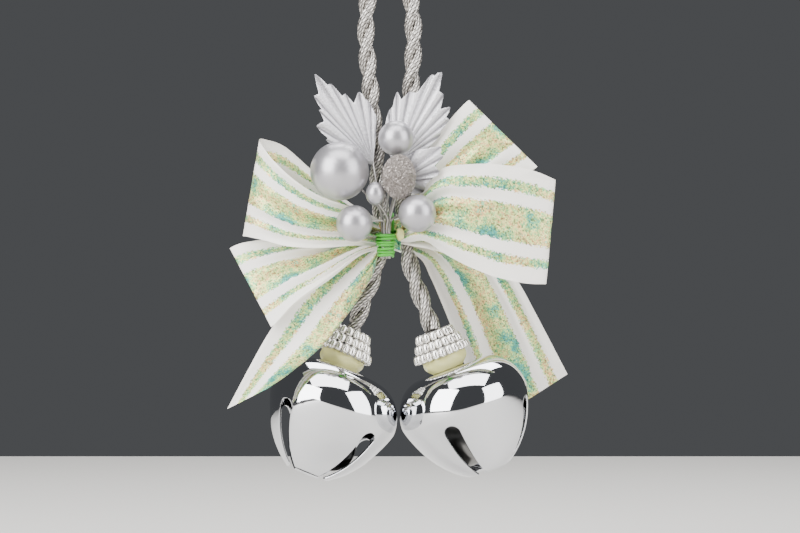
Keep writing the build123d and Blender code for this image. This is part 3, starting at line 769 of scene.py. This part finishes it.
def makeWraps():
    # helix down the stems: r = topR - taper t + wobble, z = topZ - height t + slant sin(a + 1)
    look = wrapLook
    t = np.linspace(0, 1, 90 * look["turns"])
    a = 2 * np.pi * look["turns"] * t
    r = look["topR"] - look["taper"] * t + 0.17 * np.sin(1.7 * a + 0.5) + 0.06 * np.sin(5 * a)
    z = look["topZ"] - look["height"] * t + 0.35 * np.sin(a + 1) + 0.16 * np.sin(0.62 * a)
    x, y = pickLook["centre"]
    path = np.stack([x + r * np.cos(a), y + r * np.sin(a), z], -1)
    tangent = unit(np.gradient(path, axis=0))
    side = unit(np.cross(tangent, [0, 0, 1.0]))
    up = np.cross(tangent, side)
    turn = np.linspace(0, 2 * np.pi, 12, endpoint=False)
    ring = np.cos(turn)[None, :, None] * side[:, None] + np.sin(turn)[None, :, None] * up[:, None]
    points, faces = joined([path[:, None] + look["wireR"] * ring])
    addMesh("pickWireWrap", points, faces, greenWire, "hanger", ["pick_wire_wrap"])


def repaint(node, material):  # a CAD part shown as it is, in its real finish
    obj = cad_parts[node]
    obj.data.materials.clear()
    obj.data.materials.append(material)


patchLook = {"centre": (3.6, -12.4, -96.6), "radii": (1.7, 1.3, 2.3), "uneven": 0.06}


def makePatch():  # an oval drop whose radius swells and sinks a little
    patch = sphereGrid(1.0, 25, 36, patchLook["radii"])
    patch = patch * (1 + patchLook["uneven"] * np.sin(3 * patch[..., :1] + 2 * patch[..., 2:]))
    points, faces = joined([patch + np.array(patchLook["centre"])])
    addMesh("gluePatch", points, faces, amber, "hanger", ["glue_patch"])


makeWraps()
makePatch()
repaint("bow_binding_wire", greenWire)
for side in bellPlaces:
    repaint(side + "_crown_staple", stemMetal)
print("pick made")


stageLook = {
    "floorZ": -0.235, "floorX": 3.0, "floorFront": -2.0, "floorBack": 0.9, "floor": "#d8d6d2",
    "world": "#6b6d70", "worldStrength": 0.5, "aim": (0, 0, -0.1),
    "lights": {  # place, size in m, power in W
        "keyLeft": ((-0.8, -0.8, 0.35), (0.9, 1.1), 33.0),
        "fillRight": ((0.95, -0.65, 0.25), (0.8, 1.1), 17.0),
        "topFront": ((0.0, -0.35, 0.8), (1.1, 0.6), 13.0),
        "topBack": ((0.1, 0.5, 0.8), (0.9, 0.5), 12.0)},
    "lens": 135, "sensor": 36, "camera": (0.00365, -1.103, -0.1082)}


def makeFloor():
    look = stageLook
    corners = [(-look["floorX"], look["floorFront"]), (look["floorX"], look["floorFront"]),
               (look["floorX"], look["floorBack"]), (-look["floorX"], look["floorBack"])]
    mesh = bpy.data.meshes.new("floor")
    mesh.from_pydata([(x, y, look["floorZ"]) for x, y in corners], [], [(0, 1, 2, 3)])
    mesh.materials.append(newMaterial("pale grey paper", look["floor"], 0.0, 0.8)[0])
    floor = bpy.data.objects.new("floor", mesh)
    bpy.context.scene.collection.objects.link(floor)


def makeWorld():
    world = bpy.data.worlds.new("studio")
    bpy.context.scene.world = world
    world.use_nodes = True
    background = world.node_tree.nodes["Background"]
    background.inputs["Color"].default_value = linearColor(stageLook["world"])
    background.inputs["Strength"].default_value = stageLook["worldStrength"]


def areaLight(name, place, size, power):  # a soft box turned towards the ornament
    light = bpy.data.lights.new(name, "AREA")
    light.shape = "RECTANGLE"
    light.size, light.size_y = size
    light.energy = power
    obj = bpy.data.objects.new(name, light)
    bpy.context.scene.collection.objects.link(obj)
    obj.location = place
    towards = Vector(stageLook["aim"]) - Vector(place)
    obj.rotation_euler = towards.to_track_quat("-Z", "Y").to_euler()


def makeCamera():  # level, straight at the front
    camera = bpy.data.objects.new("camera", bpy.data.cameras.new("camera"))
    bpy.context.scene.collection.objects.link(camera)
    camera.data.lens = stageLook["lens"]
    camera.data.sensor_width = stageLook["sensor"]
    camera.location = stageLook["camera"]
    camera.rotation_euler = (np.pi / 2, 0, 0)
    bpy.context.scene.camera = camera


makeFloor()
makeWorld()
for name, (place, size, power) in stageLook["lights"].items():
    areaLight(name, place, size, power)
makeCamera()
print("stage made")
